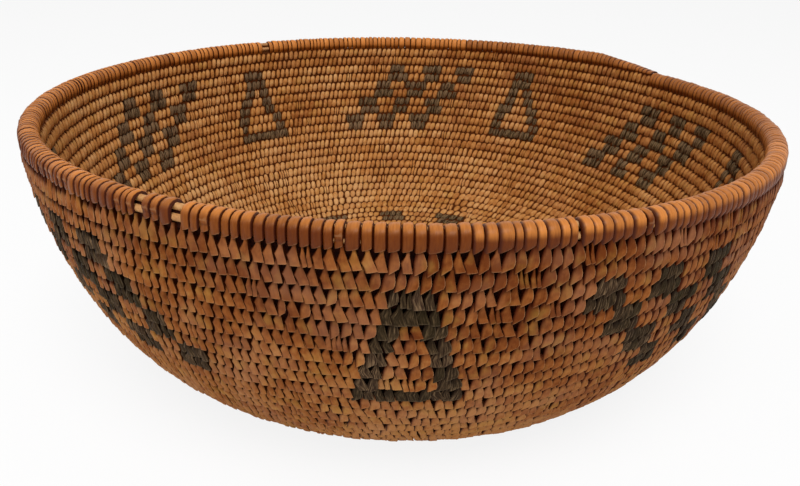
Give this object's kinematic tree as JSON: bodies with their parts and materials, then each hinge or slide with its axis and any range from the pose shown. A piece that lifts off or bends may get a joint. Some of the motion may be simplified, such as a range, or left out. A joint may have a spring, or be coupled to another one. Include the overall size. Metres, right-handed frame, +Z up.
{
  "type": "coiled basket bowl",
  "caption": "Round coiled basket bowl with a flat base, flared wall and wrapped rim, patterned in dark splint with open triangles and stepped checks.",
  "frame": {"origin": "centre of the base, on the surface that the bowl rests on", "axes": "+Z up through the middle of the mouth; the picture looks along +Y, with +X to its right"},
  "size_m": [0.3076, 0.3076, 0.1112],
  "materials": {
    "wall_splint": "warm orange brown, satin",
    "base_splint": "light tan brown, satin",
    "rim_splint": "reddish orange, worn smooth",
    "foundation_rod": "pale peeled rod, matte",
    "dark_splint": "charcoal brown, fibrous, matte"
  },
  "bodies": {
    "root": {"base_coils_1": "base_splint", "base_coils_2": "base_splint", "base_coils_3": "base_splint", "base_coils_4": "base_splint", "base_coils_5": "base_splint", "base_coils_6": "base_splint", "base_coils_7": "base_splint", "base_coils_8": "base_splint", "foundation_1": "foundation_rod", "foundation_2": "foundation_rod", "foundation_3": "foundation_rod", "foundation_4": "foundation_rod", "foundation_5": "foundation_rod", "foundation_6": "foundation_rod", "foundation_7": "foundation_rod", "foundation_8": "foundation_rod", "rim_end": "rim_splint", "rim_rod_inner": "foundation_rod", "rim_rod_outer": "foundation_rod", "rim_rod_top": "foundation_rod", "rim_wrapping_1": "rim_splint", "rim_wrapping_2": "rim_splint", "rim_wrapping_3": "rim_splint", "rim_wrapping_4": "rim_splint", "rim_wrapping_5": "rim_splint", "start_knot": "base_splint", "wall_coil_01": "wall_splint", "wall_coil_02": "wall_splint", "wall_coil_03": "wall_splint", "wall_coil_04": "wall_splint", "wall_coil_05": "wall_splint", "wall_coil_06": "wall_splint", "wall_coil_07": "wall_splint", "wall_coil_08": "wall_splint", "wall_coil_09": "wall_splint", "wall_coil_10": "wall_splint", "wall_coil_11": "wall_splint", "wall_coil_12": "wall_splint", "wall_coil_13": "wall_splint", "wall_coil_14": "wall_splint", "wall_coil_15": "wall_splint", "wall_coil_16": "wall_splint", "wall_coil_17": "wall_splint", "wall_coil_18": "wall_splint", "wall_coil_19": "wall_splint", "wall_coil_20": "wall_splint", "wall_coil_21": "wall_splint", "wall_coil_22": "wall_splint", "wall_coil_23": "wall_splint", "wall_coil_24": "wall_splint", "wall_coil_25": "wall_splint"}
  },
  "joints": []
}
